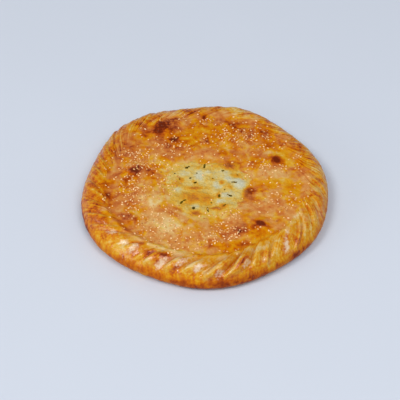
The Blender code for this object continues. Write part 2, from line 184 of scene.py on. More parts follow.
# How finely the surfaces are cut, and the step that the rim's slope is measured over.
ROUND_COLUMNS = 640
HIDDEN_COLUMNS = 80
RIM_ROWS = 74
CRUST_ROWS = 58
BASE_SHARES = (0.7, 0.35, 0.12)
HOLLOW_ROWS = 8
HOLLOW_SIDE_SHARES = (0.25, 0.5, 0.75)
CURD_COLUMNS = 240
CURD_ROWS = 70
SLOPE_STEP = 0.01

# Browned (+) and pale (-) patches in plan: (x, y, half width and half height in mm, amount), and a turn
# in degrees where there is one.
PATCHES = (
    # Blisters and other dark spots on the top.
    (-116, -24, 5, 5, 0.3),
    (-90, -23, 13, 13, 0.26),
    (-89, -62, 11, 5, 0.28, -10),
    (-86, -38, 10, 7, 0.3),
    (-83, 18, 9, 7, 0.6),
    (-53, 103, 9, 12, 0.3, -15),
    (-40, 75, 6, 6, 0.35),
    (-35, 107, 6, 8, 0.26),
    (-1, 117, 3, 3, 0.4),
    (31.5, 25, 7.3, 5.5, 0.53, -20),
    (33, -87, 12, 7, 0.26),
    (43, -80, 15, 6, 0.26),
    (53, -20, 8, 12, 0.44),
    (64, -72, 8, 3.5, 0.6, -30),
    (87, 36, 6, 7, 0.66),
    # Browner places on the top.
    (-107, -44, 7, 7, 0.08),
    (-103, 33, 7, 6, 0.08),
    (-100, 5, 14, 17, 0.12),
    (-98, 52, 9, 8, 0.16),
    (-97, 42, 8, 7, 0.1),
    (-95, 62, 11, 9, 0.17),
    (-94, -60, 7, 6, 0.1),
    (-90, -77, 10, 7, 0.08),
    (-87, -5, 8, 7, 0.12),
    (-86, 48, 7, 5, 0.08),
    (-84, 78, 12, 9, 0.12),
    (-75, 0, 30, 60, 0.03),
    (-74, 91, 8, 6, 0.1),
    (-66, 13, 7, 6, 0.2),
    (-62, 38, 8, 6, 0.1),
    (-59, -26, 10, 6, 0.1),
    (-59, 91, 7, 7, 0.14),
    (-57, 6, 10, 10, 0.15),
    (-54, 15, 7, 6, 0.08),
    (-49, 98, 17, 13, 0.2),
    (-48, -4, 7, 6, 0.1),
    (-47, 87, 11, 8, 0.25),
    (-40, -15, 7, 6, 0.1),
    (-38, 56, 15, 8, 0.22),
    (-34, 68, 8, 6, 0.06),
    (-27, 43, 11, 7, 0.22),
    (-26, -69, 10, 6.5, 0.18),
    (-20, 66, 26, 7, 0.1),
    (2, 66, 8, 5, 0.06),
    (5, 42, 8, 5, 0.06),
    (6, 114, 14, 6, 0.04),
    (9, 93, 45, 8, 0.06),
    (15, -116, 8, 5, 0.1),
    (16, -112, 10, 6, 0.15),
    (24, 69, 8, 6, 0.08),
    (27, -68, 9, 5.7, 0.16),
    (29, 33, 12, 9, 0.2),
    (30, 85, 9, 6, 0.1),
    (30.5, 48, 9.5, 6, 0.22),
    (38, 105, 12, 5, 0.14),
    (44, -104, 6, 9, 0.15),
    (54, 84, 22, 11, 0.13),
    (59, 38, 12, 9, 0.12),
    (62, -3, 8, 6, 0.12),
    (64, 35, 8, 6, 0.08),
    (66, 68, 10, 7, 0.12),
    (73, 95, 9, 6, 0.16),
    (75, -10, 24, 6, 0.08),
    (79, 57, 8, 6, 0.08),
    (88, -17, 10, 6, 0.1),
    (88, 72, 10, 10, 0.1),
    (96, -54, 7, 6, 0.08),
    # Paler places on the top.
    (-101, 14, 8, 6, -0.11),
    (-97, 22, 9, 7, -0.1),
    (-89, 82, 10, 2, -0.05, 32),
    (-76, 28, 8, 5, -0.12),
    (-74, -56, 10, 5, -0.15),
    (-71, -71, 8, 6, -0.1),
    (-70, -10, 8, 7, -0.1),
    (-69, 58, 8, 6, -0.08),
    (-63, -96, 7, 5, -0.08),
    (-63, -57, 8, 6, -0.08),
    (-61, -97, 18, 7, -0.1),
    (-61, -35, 22, 13, -0.22),
    (-57, 80, 8, 5, -0.1),
    (-52, -110, 10, 5, -0.3),
    (-49, -7, 14, 14, -0.1),
    (-41, -73, 15, 11, -0.4),
    (-36, 19, 16, 12, -0.35),
    (-31, -19, 65, 50, -0.12),
    (-29, 98, 6, 6, -0.1),
    (-20, -119, 10, 3, -0.2),
    (-20, -115, 12, 4, -0.1, -10),
    (-19, -25, 7, 5, -0.06),
    (-12, 61, 9, 6, -0.1),
    (-11, 39, 30, 8, -0.18),
    (-3, -93, 9, 5, -0.1),
    (0, -103, 9, 5, -0.1),
    (4, 90, 11, 7.5, -0.2),
    (8, -83, 9, 6, -0.1),
    (9, -61, 28, 8, -0.2),
    (29, 108, 10, 6, -0.1),
    (41, -45, 8, 6, -0.1),
    (59, -25, 6, 6, -0.1),
    (59, 61, 18, 7, -0.1),
    (60, -42, 9, 7, -0.12),
    (84, 47.5, 9, 6, -0.3),
    (85, 9, 20, 8, -0.28),
    (96, -1, 10, 7, -0.2),
    (110, -40, 8, 8, -0.1),
    (113, -2, 7, 9, -0.18),
    # Places on the rim.
    (-141, -39, 16, 60, 0.1),
    (-134, -4, 8, 25, -0.08),
    (-127, -1, 7, 10, -0.08),
    (-119, -33, 7, 8, 0.12),
    (-119, 64, 8, 10, -0.12),
    (-118, 56, 1.2, 4, 0.2, -20),
    (-114, 64, 1.2, 5, 0.3, -10),
    (-113, 54, 5, 9, 0.25, 20),
    (-109, 70, 1.2, 5, 0.25, -10),
    (-95, -104, 8, 5, -0.15),
    (-83, 104, 7, 6, 0.06),
    (-78, 98, 5, 9, 0.14, 15),
    (-72, -106, 6, 3, 0.28, 10),
    (-64, 109, 14, 2.5, -0.28, 58),
    (-63, -116, 7, 4, 0.3, 30),
    (-60, 117, 11, 1.6, 0.35, 45),
    (-57, -122, 9, 3.5, 0.34, 15),
    (-45, -122, 6, 3, 0.5, 10),
    (-42, -119, 14, 5, -0.14, -5),
    (-39, 124, 10, 4, -0.2),
    (-30, -120, 12, 5, -0.2),
    (-21, 125, 11, 5, 0.2),
    (-13, 138, 10, 3, -0.1),
    (24, -124, 12, 5, 0.04),
    (25, -147, 26, 3, 0.08),
    (26, 138, 12, 3, -0.25),
    (40, -133, 9, 1.8, 0.5, 50),
    (52, 130, 8, 3, -0.25),
    (53, 118, 6, 3, -0.2, 20),
    (62, -112, 10, 3, -0.35, 25),
    (65, 112, 5, 3, -0.3),
    (78, 101, 10, 7, -0.16),
    (79, -117, 3, 8, -0.2),
    (91, -87, 8, 6, -0.1),
    (96, 82, 8, 7, -0.11),
    (106, -62, 6, 3.5, -0.35, 45),
    (109, -57, 9, 5, -0.12),
    (113, -77, 3, 9, -0.25, 15),
    (117, 56, 6, 7, 0.25),
    (121, -72, 2.5, 8, -0.25, 20),
    (136, 1, 5, 6, 0.2),
)

# Browned (+) and white (-) patches in the cheese, laid out the same.
CHEESE_PATCHES = (
    # Browned.
    (-49, 17, 6, 6, 0.4),
    (-36, -4, 8, 5, 0.16),
    (-32, -51, 4, 5, 0.5),
    (-28, -24, 12, 12, 0.1),
    (-28, 3, 3.5, 3.5, 0.26),
    (-15, -30, 7, 7, 0.1),
    (-12, -12, 8, 2.5, 0.35),
    (-12, -2, 4, 3, 0.12),
    (-11, -55, 6, 3.5, 0.45),
    (-6, 24, 6, 4, 0.12),
    (-5, -29, 17, 9, 0.24),
    (5, 36, 14, 5, 0.3),
    (13, -47, 7, 3.5, 0.4),
    (16, -25, 2.5, 5, 0.45),
    (19, -3, 4, 3, 0.35),
    (22, -42, 4, 3, 0.35),
    (29, -11, 3.5, 3.5, 0.2),
    (29, 28, 8, 7, 0.5),
    (37, 9, 7, 4, 0.3),
    (52, -19, 8, 12, 0.68),
    # White.
    (-42, 3, 8, 6, -0.14),
    (-33, -15, 5, 4, -0.25),
    (-25, -57, 5, 4, -0.2),
    (-25, 14, 7, 5, -0.2),
    (-19, -5, 7, 4, -0.14),
    (-12, -43, 5, 6, -0.25),
    (-7, 10, 5, 8, -0.35),
    (3, 14, 5, 3, -0.2),
    (14, -7, 5, 6, -0.3),
    (15, -34, 5, 4, -0.25),
    (22, -24, 8, 5, -0.3),
    (23, 15, 6, 5, -0.2),
    (24, -37, 7, 5, -0.12),
    (30, 4, 9, 6, -0.3),
    (36, -24, 8, 6, -0.14),
    (43, -6, 7, 9, -0.52),
)

# Browned patches low on the rim's wall, laid out the same.
SIDE_PATCHES = (
    (-6, -146, 40, 9, 0.14),
    (-142, -43, 9, 30, 0.26),
    (112, -98, 24, 9, 0.16, 45),
    (70, -131, 18, 8, 0.12, 25),
    (-100, -112, 16, 8, 0.06, -45),
)

# Tan (+) and golden (-) drifts in the crust, laid out the same.
TAN_PATCHES = (
    # Tan.
    (-101, 11, 18, 30, 0.25),
    (-99, -34, 12, 16, 0.3),
    (-98, -40, 10, 12, 0.2),
    (-96, -59, 22, 16, 0.25),
    (-88, -70, 8, 6, 0.25),
    (-85, 31, 12, 10, 0.35),
    (-83, 18, 9, 7, 0.5),
    (-71, -79, 8, 6, 0.15),
    (-70, -39, 9, 6, 0.3),
    (-69, -13, 10, 10, 0.25),
    (-68, 0, 12, 12, 0.15),
    (-64, -66, 14, 12, 0.4),
    (-57, -54, 10, 7, 0.35),
    (-52, -50, 12, 10, 0.15),
    (-48, -91, 16, 8, 0.3),
    (-46, 52, 16, 11, 0.45),
    (-39, -79, 9, 6, 0.2),
    (-38, 106, 10, 10, 0.3),
    (-37, 45, 8, 6, 0.2),
    (-21, -100, 14, 6, 0.25),
    (-11, -108, 10, 5, 0.2),
    (-1, -93, 45, 10, 0.3),
    (10, 49, 13, 7.3, 0.6),
    (12, -76, 14, 8, 0.25),
    (30, 124, 22, 6, 0.3),
    (38, -70, 14, 8, 0.25),
    (48, 66, 10, 6.7, 0.5),
    (53, 16, 9, 6, 0.2),
    (59, 52, 20, 10, 0.15),
    (75, 101, 9, 6, 0.25),
    (76, -38, 24, 20, 0.45),
    (78, 13, 8, 6, 0.2),
    (79, 16, 16, 9, 0.45),
    (84, -36, 10, 7, 0.45),
    (125, 8, 8, 20, 0.3),
    # Golden.
    (-130, 0, 12, 45, -0.4),
    (-98, 5, 8, 6, -0.15),
    (-94, 6, 9, 7, -0.3),
    (-89, 6, 9, 6, -0.2),
    (-82, -54, 8.5, 6, -0.5),
    (-63, -115, 8, 6, -0.4),
    (-11, 76, 30, 14, -0.2),
    (15, 77, 14, 8, -0.3),
    (19, 79, 9, 6, -0.35),
    (24, 89, 16, 10, -0.3),
    (28, -123, 22, 6, -0.3, 8),
    (35, 98, 10, 6, -0.5),
    (36, 28, 10, 6, -0.3),
    (43, -120, 14, 6, -0.5, 20),
    (59, 33, 16, 8, -0.3),
    (61, 36, 9, 6, -0.25),
    (67, -8, 9, 8, -0.25),
    (69, -94, 24, 16, -0.3),
    (73, -58, 8, 6, -0.2),
    (73, -12, 12, 8, -0.25),
    (82, 67, 8, 6, -0.2),
    (85, 68, 12, 12, -0.3),
    (97, -74, 9, 9, -0.25),
    (99, 11, 12, 30, -0.1),
)

# Where the crust is speckled besides the rim, laid out the same.
SPECKLED_PATCHES = (
    (-50, 101, 18, 16, 1.3),
    (-83, 18, 10, 8, 0.8),
    (53, -20, 8, 12, 0.8),
)

# Painted highlights: whitish patches on the rim's lobes that stand in for the glaze's gloss, laid out the
# same.
PAINTED_HIGHLIGHT_PATCHES = (
    (-51, -132, 8.5, 3.5, 0.88, 32),
    (-8, -140, 6.5, 3, 0.95, 38),
    (-27, -133, 9, 3.6, 0.72, 30),
    (-81, -110, 6, 4, 0.8, 30),
    (-97, -118, 9, 6, 0.85, -35),
    (-107, -86, 7, 3, 0.8, -20),
    (-92, -102, 5, 3, 0.7),
    (92, -104, 3.5, 9, 0.8, 5),
    (94, -87, 3, 4, 0.6),
    (15, -146, 6, 2.5, 0.7, 30),
    (46, -132, 7, 2.5, 0.6, 50),
    (106, -60, 5, 2.5, 0.5, 45),
)

# The places that the crust's colours go by: the heights, radii or insets from the outline where each
# begins and where it counts in full.
TOP_HEIGHTS = (12 * MM, 22 * MM)
UPPER_HEIGHTS = (15 * MM, 25 * MM)
RIM_RADII = (110 * MM, 125 * MM)
PLEATED_INSETS = (28 * MM, 18 * MM)
GLAZED_INSETS = (23 * MM, 13 * MM)
INNER_EDGE_STARTS = (24 * MM, 28 * MM)
INNER_EDGE_ENDS = (36 * MM, 32 * MM)
VENT_UNIT = 10 * MM
DARK_SIDE_AT = math.radians(190)

# How browned the dough is, from 0, pale, to 1, burnt, and what each kind of place adds to that.
BROWNING = 0.535
WALL_BROWNING = 0.1
RIM_BROWNING = -0.03
RIDGE_BROWNING = -0.34
CREASE_BROWNING = -0.3
# Painted warm shade on the front of the rim's inner slope, which is turned from the key light.
INNER_EDGE_SHADE_BROWNING = 0.04
DARK_SIDE_BROWNING = 0.05
CURD_BROWNING = 0.4
THIN_CRUST_BROWNING = 0.42

# How tan the dough is, and how much glaze, mottles and speckles there are, from 0 to 1.
TAN = 0.4
WALL_TAN = -0.5
PLEATED_TAN = -0.3
CRUST_GLAZE = 0.06
RIM_GLAZE = 0.56
WALL_GLAZE = 0.25
WALL_MOTTLING = 0.75
RIM_MOTTLING = -0.15
WALL_SPECKLING = 0.3

# Colours, in sRGB from 0 to 255. The crust has a golden and a tan one for each degree of browning. The
# cheese, the seeds and the herbs have one for each degree of browning, toasting or dryness.
CRUST_HUES = (
    (0.0, (216, 190, 126), (216, 188, 134)),
    (0.2, (212, 170, 84), (212, 170, 104)),
    (0.36, (210, 154, 32), (206, 150, 84)),
    (0.5, (205, 134, 6), (200, 132, 64)),
    (0.64, (196, 110, 0), (191, 112, 50)),
    (0.78, (174, 80, 4), (172, 90, 42)),
    (0.9, (138, 52, 6), (141, 62, 32)),
    (1.0, (104, 34, 6), (104, 38, 14)),
)
CHEESE_HUES = (
    (0.0, (199, 197, 168)),
    (0.18, (201, 190, 144)),
    (0.34, (207, 180, 100)),
    (0.48, (206, 158, 48)),
    (0.62, (204, 137, 16)),
    (0.78, (186, 108, 24)),
    (1.0, (142, 66, 18)),
)
SEED_HUES = ((0.0, (250, 212, 158)), (0.45, (232, 178, 110)), (0.8, (206, 140, 74)), (1.0, (180, 104, 48)))
HERB_HUES = ((0.0, (66, 52, 0)), (0.5, (104, 82, 2)), (1.0, (148, 112, 12)))
# The red-brown that painted shade darkens the pleats' grooves and pits towards.
GROOVE_SHADE_HUE = (166, 72, 10)
# The colour of the painted highlights on the rim's lobes.
PAINTED_HIGHLIGHT_HUE = (222, 194, 160)
TABLE_HUES = ((204, 211, 222), (208, 215, 226))

# Sesame seeds: how many, their form, and how they lie.
SEEDS = 1080
SEED_LENGTH = 2.9 * MM
SEED_WIDTH = 1.8 * MM
SEED_THICKNESS = 0.95 * MM
SEED_BLUNTNESS = 0.8
SEED_FULLNESS = 0.62
SEED_SIZES = (0.7, 1.15)
SEED_TILT = 0.15
SEED_RISE = 0.3
SEED_SPACING = 2.1 * MM
SEED_SIDES = 10
SEED_RINGS = 6
SEED_SHUFFLE = 8
SEED_AREA_RADIUS = 128 * MM
TOASTING_SKEW = 1.1

# Where the seeds fell thickest, (x, y, half width and half height in mm, how thick), and where none did.
SEED_PATCHES = (
    (45, 78, 30, 20, 2.7),
    (-75, 35, 24, 18, 3.0),
    (-86, -19, 18, 26, 3.4),
    (-53, -71, 26, 26, 2.1),
    (24, -87, 20, 13, 2.8),
    (77, 23, 20, 10, 3.4),
    (97, -39, 36, 20, 1.0),
    (-21, -103, 20, 8, 1.6),
    (2, 111, 10, 7, 2.4),
    (-41, 58, 26, 14, 1.4),
    (8, 70, 16, 12, 0.8),
    (29, -61, 12, 12, 2.0),
    (-46, -4, 14, 20, 1.6),
)
SEED_BACKGROUND = 0.22
SEED_GAPS = ((87, 38, 9, 12), (64, -72, 9, 6), (-46, 103, 15, 12))
SEED_ON_CHEESE = 0.25

# Herb flecks in the cheese: (x, y, length and width in mm, turn in degrees).
HERB_FLECKS = (
    (-22.5, 22.7, 5.5, 4.0, 35),
    (-20, 24.5, 3.4, 2.8, 100),
    (-1.2, 25.2, 8.0, 3.0, 75),
    (21.4, 17.6, 3.8, 4.0, 20),
    (-10.3, 14.4, 3.2, 2.0, 140),
    (-18.1, 5, 3.0, 2.5, 20),
    (-12.4, -1.9, 5.0, 3.2, 30),
    (35.6, -3.1, 6.6, 3.5, 20),
    (32.5, -2.2, 3.4, 2.0, -30),
    (29.6, -25.1, 5.5, 2.8, 160),
    (26.5, -23.5, 3.0, 1.8, 150),
    (16.4, -26.4, 5.0, 3.0, 80),
    (22.1, -41.9, 5.0, 3.0, 15),
    (-28.3, -36.6, 6.0, 3.0, 60),
    (-24.8, -33.8, 4.6, 2.0, 20),
    (-14.4, -47.2, 5.6, 4.5, 70),
    (2.8, -49.6, 7.0, 3.0, 105),
    (-31, 3, 3.0, 1.9, 80),
    (9, 4, 2.6, 1.8, 130),
    (23, -15, 2.8, 1.8, 60),
    (7, -37, 2.6, 1.8, 140),
    (-37, 13, 2.6, 1.8, 50),
    (39, 11, 2.6, 1.8, 10),
)
HERB_THICKNESS = 0.5 * MM
HERB_TIP_WIDTH = 0.3
HERB_CURL = 0.25
HERB_TIP_CURL = 0.06
HERB_SIDES = 8
HERB_RINGS = 5
HERB_SHUFFLE = 3
HERB_DRYNESS = 0.7

# The view: a long lens that looks down at the bread from the front.
FRAME_PIXELS = 400
SENSOR_MM = 36
CAMERA_DISTANCE = 1.3
CAMERA_ELEVATION = math.radians(44.7)
METRES_PER_PIXEL = 1.22 * MM
VIEW_TARGET = Vector((-6.4 * MM, -3.2 * MM, 0))

# The studio: softboxes, as (name, place, aim, size, power, tint), a dim sky and a table.
SOFTBOXES = (
    ("key_softbox", (-3.2, -2.4, 5.1), (-0.1, 0, 0), 2.4, 174, (0.985, 0.98, 0.965)),
    ("front_softbox", (1.1, -1.6, 3.4), (0.1, -0.25, 0), 2.4, 66, (0.98, 0.985, 1.0)),
    ("low_softbox", (-3.2, -2.0, 0.9), (0, 0, 0), 2.0, 32, (0.96, 0.98, 1.0)),
)
SKY_TINT = (0.94, 0.95, 1.0, 1)
SKY_STRENGTH = 0.38
TABLE_SIZE = 3.0
TABLE_CELLS = 8

# The sockets of a Mix node that carry colours.
MIX_FIRST, MIX_SECOND, MIX_RESULT = 6, 7, 2


def smooth(value):
    """0 below 0, 1 above 1, and an even S between them."""
    value = max(0.0, min(1.0, value))
    return value * value * (3 - 2 * value)


def mix(start, end, share):
    return start + (end - start) * share


def waves(angle, table):
    return sum(size * MM * math.cos(count * (angle - math.radians(crest))) for count, size, crest in table)


def around(radius, angle):
    return Vector((radius * math.cos(angle), radius * math.sin(angle)))


def outline_radius(angle):
    return OUTLINE_RADIUS + waves(angle, OUTLINE_WAVES)


def vent_radius(angle):
    return VENT_RADIUS + waves(angle, VENT_WAVES)


def vent_distance(point):
    """How far a point in plan lies outside the opening's edge; negative inside it."""
    offset = point - VENT_CENTRE
    return offset.length - vent_radius(math.atan2(offset.y, offset.x))


def outline_inset(point):
    return outline_radius(math.atan2(point.y, point.x)) - point.length


def waver(angle, amount, seed):
    """An uneven change round the rim, the same at both ends of the turn."""
    place = around(RIM_BUMPS / FULL_TURN, angle)
    return amount * noise.noise(Vector((place.x, place.y, seed)))


def rim_width(angle):
    return RIM_WIDTH + waver(angle, RIM_WAVER, 3)


def crust_edge_height(angle):
    return CRUST_EDGE_HEIGHT - GUTTER_DEPTH * (pleat_strength(angle) - GUTTER_FROM)


def pleat_bounds():
    draw = random.Random(PLEAT_SEED)
    pitch = FULL_TURN / PLEATS
    shifts = [draw.uniform(-PLEAT_JITTER, PLEAT_JITTER) * pitch / 2 for _ in range(PLEATS)]
    return [PLEAT_TURN + k * pitch + shift for k, shift in enumerate(shifts)]


PLEAT_STARTS = pleat_bounds()
PLEAT_SIZES = [1 + random.Random(k).uniform(-PLEAT_UNEVENNESS, PLEAT_UNEVENNESS) for k in range(PLEATS)]
PLEAT_LEANS = [PLEAT_LEAN + random.Random(3 * k).uniform(-LEAN_CHANGE, LEAN_CHANGE) for k in range(PLEATS)]
PLEAT_FEET = [PLEAT_FOOT + random.Random(-k).uniform(-FOOT_CHANGE, FOOT_CHANGE) for k in range(PLEATS)]


def fold_angle_at(angle, share):
    """Where a place on the rim lies among the pleats, which turn clockwise and waver on their way down."""
    place = around(RIM_BUMPS / FULL_TURN, angle)
    wander = PLEAT_WAVER * noise.noise(Vector((place.x, place.y, WAVER_STRETCH * share)))
    return angle + PLEAT_SWEEP * min(1.0, share / PLEAT_FOOT) ** SWEEP_CURVE + wander


def pleat_at(fold_angle):
    angle = (fold_angle - PLEAT_STARTS[0]) % FULL_TURN + PLEAT_STARTS[0]
    k = bisect.bisect_right(PLEAT_STARTS, angle) - 1
    end = PLEAT_STARTS[k + 1] if k + 1 < PLEATS else PLEAT_STARTS[0] + FULL_TURN
    width = end - PLEAT_STARTS[k]
    return k, width, (angle - PLEAT_STARTS[k]) / width


def pleat_boldness(fold_angle):
    """1 where the pleats are boldest, falling to 0 on the other side of the bread."""
    return ((1 + math.cos(fold_angle - STRONGEST_PLEATS_AT)) / 2) ** PLEAT_FOCUS


def pleat_strength(fold_angle):
    return mix(FAINTEST_PLEATS, 1.0, pleat_boldness(fold_angle))


def pleat_relief(fold_angle, share):
    """How far the pleats stand out of the plain rim, how much painted shade a groove or dimple gives, and
    how much of a crest this is.
    """
    k, width, across = pleat_at(fold_angle)
    lobe = 1 - abs(2 * across ** PLEAT_LEANS[k] - 1) ** PLEAT_FULLNESS
    step = 0.5 - across if across > PLEAT_TUCK else mix(-0.5, 0.5 - PLEAT_TUCK, across / PLEAT_TUCK)
    foot = PLEAT_FEET[k] + PLEAT_FADE / 2 * (lobe - 0.5)
    boldness = pleat_boldness(fold_angle)
    begun = smooth((share - LATEST_HEAD * (1 - boldness)) / PLEAT_HEAD)
    window = begun * smooth((foot - share) / PLEAT_FADE)
    narrow = min(1.0, width * PLEATS / FULL_TURN)
    strength = window * PLEAT_SIZES[k] * narrow * pleat_strength(fold_angle)
    growth = smooth((share - LOBE_START) / LOBE_GROWTH)
    rise = LOBE_HEIGHT * lobe * mix(LOBE_AT_HEAD, 1.0, growth)
    fall = PIT_DEPTH * (1 - lobe) * mix(1.0, PIT_AT_FOOT, growth)
    dimple = lobe * math.exp(-(((share - DIMPLE_AT) / DIMPLE_WIDTH) ** 2))
    ridge = INNER_RIDGE * rim_ridge(fold_angle, share)
    crest = math.exp(-(((across - CREST_AT) / CREST_WIDTH) ** 2)) * smooth(share / CREST_RISE)
    relief = strength * (rise - fall + PLEAT_STEP * step - DIMPLE_DEPTH * dimple) + ridge
    hollow = abs(2 * across ** PLEAT_LEANS[k] - 1) ** HOLLOW_FALL
    return relief, strength * max(hollow, DIMPLE_MARK * dimple), strength * crest * boldness


def rim_ridge(fold_angle, share):
    """The edge where the folded rim stands up from the crust."""
    height = smooth(share / RIDGE_RISE) * smooth((RIDGE_END - share) / RIDGE_FALL)
    return height * pleat_boldness(fold_angle)


def rim_section(angle, share):
    """(inset, height) on the plain rim, from the crust at 0, over the crown, to the foot at 1."""
    crown = CROWN_HEIGHT - CROWN_TILT * math.sin(angle) + waver(angle, CROWN_UNEVENNESS, 8)
    if share < CROWN_SHARE:
        rise = share / CROWN_SHARE
        return mix(rim_width(angle), CROWN_INSET, rise), mix(crust_edge_height(angle), crown, smooth(rise))
    if share < WIDEST_SHARE:
        turn = math.pi / 2 * (share - CROWN_SHARE) / (WIDEST_SHARE - CROWN_SHARE)
        drop = crown - WIDEST_HEIGHT
        return CROWN_INSET * (1 - math.sin(turn)), WIDEST_HEIGHT + drop * math.cos(turn)
    turn = math.pi / 2 * (share - WIDEST_SHARE) / (1 - WIDEST_SHARE)
    return BASE_INSET * (1 - math.cos(turn)), WIDEST_HEIGHT * (1 - math.sin(turn))


def fine_relief(x, y, z):
    """Small bubbles and pores, the same in every direction."""
    place = Vector((x, y, z)) / BUBBLE_LENGTH
    return BUBBLE_HEIGHT * (noise.noise(place) + PORE_SIZE * noise.noise(place * PORE_FINENESS))


def crease_wave(fold_angle, share):
    """Creases that run down along the pleats, where the dough was stretched and folded."""
    round_rim = CREASES_ROUND * fold_angle / FULL_TURN
    wave = sum(
        size * noise.noise(Vector((round_rim * finer_round, CREASE_STRETCH * finer_down * share, seed)))
        for size, finer_round, finer_down, seed in CREASE_LAYERS
    )
    strength = CREASES_WITH_PLEATS - pleat_strength(fold_angle)
    return strength * wave * smooth(share / CREASE_RISE) * smooth((CREASE_END - share) / CREASE_FALL)


def crust_relief(point):
    inward = smooth((outline_inset(point) - RIM_WIDTH) / LUMP_FADE)
    lumps = LUMP_HEIGHT * noise.noise(Vector((point.x, point.y, 0)) / LUMP_LENGTH)
    bubbles = sum(
        height * MM * smooth(BLISTER_REACH - (point - Vector((x * MM, y * MM))).length / (radius * MM))
        for x, y, radius, height in BLISTERS
    )
    return inward * lumps + bubbles


def crust_height(point):
    angle = math.atan2(point.y, point.x)
    rise = smooth((outline_inset(point) - rim_width(angle)) / SWELL_WIDTH)
    level = mix(crust_edge_height(angle), CRUST_EDGE_HEIGHT + CRUST_SWELL, rise)
    sag = VENT_SAG * smooth(1 - vent_distance(point) / VENT_SAG_WIDTH)
    return level - sag + crust_relief(point)


def rim_point(angle, share):
    """A point of the rim, with the pleats that turn clockwise on their way down."""
    fold_angle = fold_angle_at(angle, share)
    inset, height = rim_section(angle, share)
    before = rim_section(angle, max(0.0, share - SLOPE_STEP))
    after = rim_section(angle, min(1.0, share + SLOPE_STEP))
    along = Vector((before[0] - after[0], after[1] - before[1])).normalized()
    out, up = -along.y, along.x
    plain = around(outline_radius(angle) - inset, angle)
    relief = pleat_relief(fold_angle, share)[0] + CREASE_HEIGHT * crease_wave(fold_angle, share)
    relief += fine_relief(plain.x, plain.y, height) * smooth((1 - share) / PORELESS_FOOT)
    plan = around(outline_radius(angle) - inset + out * relief, angle)
    lift = crust_relief(plan) * (1 - smooth(share / CROWN_SHARE))
    return Vector((plan.x, plan.y, max(0.0, height + up * relief + lift)))


def ridge_glow(fold_angle, share):
    """How much paler the rim's inner edge is made: paler dough, with a painted highlight along the lit
    lip.
    """
    window = smooth((share - GLOW_FROM) / GLOW_RISE) * smooth((GLOW_END - share) / GLOW_FALL)
    return window * pleat_boldness(fold_angle)


# How much painted shade darkens a place in the pleats' grooves and pits.
def groove_shade_mark(angle, share):
    return pleat_relief(fold_angle_at(angle, share), share)[1]


def crease_mark(angle, share):
    return crease_wave(fold_angle_at(angle, share), share)


def ridge_mark(angle, share):
    fold_angle = fold_angle_at(angle, share)
    return max(ridge_glow(fold_angle, share), pleat_relief(fold_angle, share)[2])


def crust_plan(angle, share):
    outer = around(outline_radius(angle) - rim_width(angle), angle)
    inner = VENT_CENTRE + around(vent_radius(angle), angle)
    return outer.lerp(inner, share)


def crust_point(angle, share):
    plan = crust_plan(angle, share)
    lip = LIP_ROUNDING * (1 - smooth(vent_distance(plan) / LIP_SLOPE))
    return Vector((plan.x, plan.y, crust_height(plan) + fine_relief(plan.x, plan.y, 0) - lip))


def hollow_roof(angle, share):
    """A point of the crust's underside, from the opening's edge, 0, to the hollow's side, 1."""
    inner = VENT_CENTRE + around(vent_radius(angle), angle)
    outer = around(outline_radius(angle) - SIDE_THICKNESS - FILLING_EDGE, angle)
    plan = inner.lerp(outer, share)
    thick = mix(LIP_THICKNESS, CRUST_THICKNESS, smooth(vent_distance(plan) / LIP_TAPER))
    return Vector((plan.x, plan.y, crust_height(plan) - thick))


def hollow_side(angle, share):
    top = hollow_roof(angle, 1.0).z
    turn = math.pi * share
    radius = outline_radius(angle) - SIDE_THICKNESS - FILLING_EDGE * (1 - math.sin(turn))
    plan = around(radius, angle)
    middle, half = (top + FLOOR_THICKNESS) / 2, (top - FLOOR_THICKNESS) / 2
    return Vector((plan.x, plan.y, middle + half * math.cos(turn)))


def hollow_floor(angle, share):
    radius = outline_radius(angle) - SIDE_THICKNESS - FILLING_EDGE
    plan = around(radius * (1 - share), angle)
    return Vector((plan.x, plan.y, FLOOR_THICKNESS))


def foot_point(angle, share):
    """The flat base, from its edge, 0, to its middle, 1."""
    edge = rim_point(angle, 1.0)
    return Vector((edge.x * (1 - share), edge.y * (1 - share), 0))


def filling_point(angle, share):
    """A point of the filling's top: it shows in the opening, and its edge, 1, lies under the crust."""
    radius = (vent_radius(angle) + FILLING_TUCK) * share
    plan = VENT_CENTRE + around(radius, angle)
    depth = -vent_distance(plan)
    place = Vector((plan.x, plan.y, 0))
    curds = noise.fractal(place / CURD_LENGTH, *CURD_FRACTAL) * CURD_HEIGHT
    ragged = EDGE_RAGGEDNESS * noise.fractal(place / RAG_LENGTH, *CURD_FRACTAL)
    emerged = smooth((depth + ragged + FILLING_OVERLAP) / EMERGING_WIDTH)
    level = mix(-FILLING_DROP, FILLING_RISE, emerged)
    curds *= mix(CURDS_UNDER_CRUST, 1.0, emerged)
    return Vector((plan.x, plan.y, crust_height(plan) + level + curds))


def filling_base(angle, share):
    radius = (vent_radius(angle) + FILLING_TUCK) * (1 - share)
    plan = VENT_CENTRE + around(radius, angle)
    return Vector((plan.x, plan.y, FLOOR_THICKNESS))


# Meshes made of rings


def even_angles(count):
    return [PLEAT_STARTS[0] + k * FULL_TURN / count for k in range(count)]


def even_shares(rows, start=0.0, end=1.0):
    """rows shares from start to end, without the start."""
    return [mix(start, end, (k + 1) / rows) for k in range(rows)]


def add_ring(mesh, columns, place, share, **layers):
    """One closed ring of vertices, as (angle, vertex) pairs, with a value in each named layer."""
    ring = []
    for angle in even_angles(columns):
        vertex = mesh.verts.new(place(angle, share))
        for name, value in layers.items():
            vertex[mesh.verts.layers.float[name]] = value(angle, share)
        ring.append((angle, vertex))
    return ring


